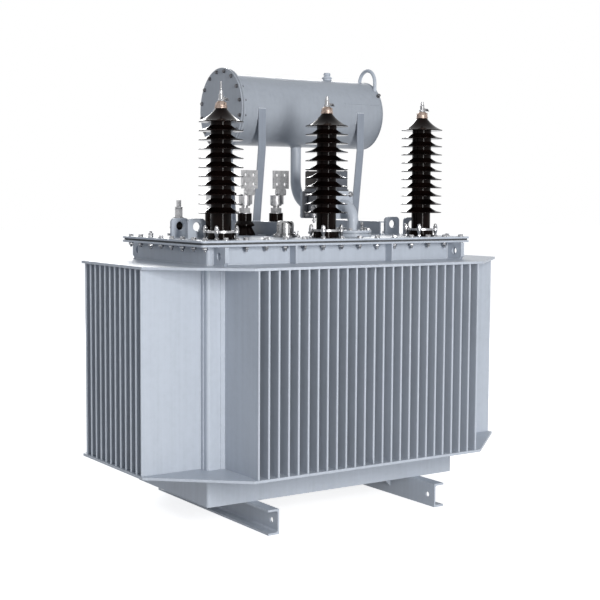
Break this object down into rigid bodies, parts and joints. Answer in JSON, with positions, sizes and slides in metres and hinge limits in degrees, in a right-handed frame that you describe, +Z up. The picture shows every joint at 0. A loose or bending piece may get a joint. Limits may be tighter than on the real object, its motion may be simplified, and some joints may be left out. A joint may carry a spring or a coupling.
{
  "type": "oil filled distribution transformer",
  "caption": "Free-standing oil-filled transformer: finned tank on channel feet, tall shed bushings, flag terminals and a cylindrical conservator on bent supports.",
  "frame": {"origin": "on the floor under the middle of the tank", "axes": "+X along the long side, -Y towards the high-voltage side, +Z up"},
  "size_m": [1.775, 1.108, 1.913],
  "materials": {
    "paint": "semi-gloss pale blue-grey paint",
    "gasket_rubber": "matt black",
    "glaze": "glossy near-black brown glaze",
    "plated_steel": "zinc plated",
    "bronze": "dull cast bronze",
    "tinned_copper": "dull tin plate",
    "stainless": "polished",
    "relay_casting": "dark grey paint"
  },
  "bodies": {
    "root": {"base_ribs": "paint", "conservator_end_plate": "paint", "conservator_gasket": "gasket_rubber", "conservator_pipe": "paint", "conservator_shell": "paint", "cover_gasket": "gasket_rubber", "cover_lifting_lugs": "paint", "filler_cap": "paint", "foot_gussets": "paint", "front_fins": "paint", "gas_relay_body": "relay_casting", "gas_relay_head": "relay_casting", "hv_clamp_1": "plated_steel", "hv_clamp_2": "plated_steel", "hv_clamp_3": "plated_steel", "hv_porcelain_1": "glaze", "hv_porcelain_2": "glaze", "hv_porcelain_3": "glaze", "hv_terminal_1": "bronze", "hv_terminal_2": "bronze", "hv_terminal_3": "bronze", "left_fins": "paint", "left_foot": "paint", "left_support": "paint", "lifting_eye": "paint", "lower_fin_plate": "paint", "lv_porcelain_1": "glaze", "lv_porcelain_2": "glaze", "lv_porcelain_3": "glaze", "lv_terminal_1": "tinned_copper", "lv_terminal_2": "tinned_copper", "lv_terminal_3": "tinned_copper", "neck_ribs": "paint", "neutral_porcelain": "glaze", "neutral_terminal": "tinned_copper", "pipe_pad": "paint", "rear_fins": "paint", "relief_valve": "stainless", "right_fins": "paint", "right_foot": "paint", "right_support": "paint", "tank_body": "paint", "tank_cover": "paint", "tank_lifting_lugs": "paint", "tank_pipe": "paint", "tank_rim": "paint", "upper_fin_plate": "paint"}
  },
  "joints": []
}
